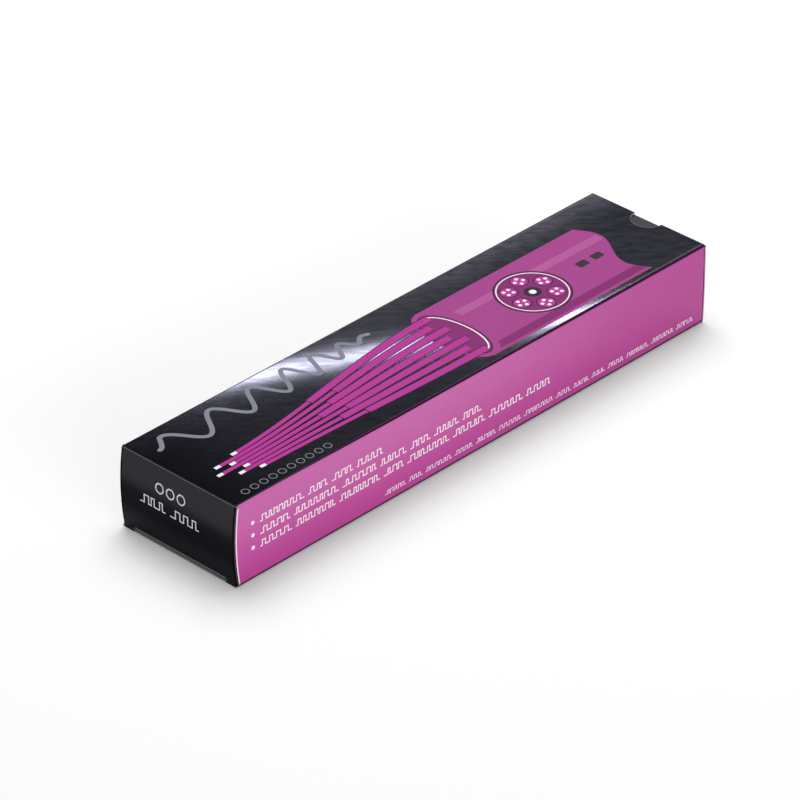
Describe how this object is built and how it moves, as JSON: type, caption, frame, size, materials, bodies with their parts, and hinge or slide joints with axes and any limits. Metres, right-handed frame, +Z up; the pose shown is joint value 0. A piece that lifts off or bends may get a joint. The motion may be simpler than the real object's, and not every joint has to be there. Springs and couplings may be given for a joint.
{
  "type": "tuck end folding carton",
  "caption": "Long slim folding carton of printed board, shut at each end by a hinged panel whose tongue tucks in over dust flaps, with a thumb notch at the far end.",
  "frame": {"origin": "centre of the carton's base, on the back panel's outer face", "axes": "+X along the carton to the end with the thumb notch, +Y across to the side with the glued seam, +Z up to the front panel"},
  "size_m": [0.2314, 0.0536, 0.0314],
  "materials": {
    "tube_board": "satin",
    "end_board": "gloss",
    "tongue_board": "gloss"
  },
  "bodies": {
    "tube": {"carton_tube": "tube_board"},
    "near_panel": {"near_closing_panel": "end_board"},
    "near_tongue": {"near_tuck_tongue": "tongue_board"},
    "far_panel": {"far_closing_panel": "end_board"},
    "far_tongue": {"far_tuck_tongue": "tongue_board"}
  },
  "joints": [
    {"name": "near_panel_crease", "type": "hinge", "parent": "tube", "child": "near_panel", "pos_m": [-0.11428, 0, 0.03111], "axis": [0, 1, 0], "range_deg": [0, 100]},
    {"name": "near_tongue_crease", "type": "hinge", "parent": "near_panel", "child": "near_tongue", "pos_m": [-0.11393, 0, 0.0014], "axis": [0, -1, 0], "range_deg": [0, 74]},
    {"name": "far_panel_crease", "type": "hinge", "parent": "tube", "child": "far_panel", "pos_m": [0.11513, 0, 0.00029], "axis": [0, 1, 0], "range_deg": [0, 90]},
    {"name": "far_tongue_crease", "type": "hinge", "parent": "far_panel", "child": "far_tongue", "pos_m": [0.11478, 0, 0.03], "axis": [0, -1, 0], "range_deg": [0, 74]}
  ],
  "couplings": [
    {"joint": "near_tongue_crease", "follows": "near_panel_crease", "ratio": 0.72},
    {"joint": "far_tongue_crease", "follows": "far_panel_crease", "ratio": 0.72}
  ]
}
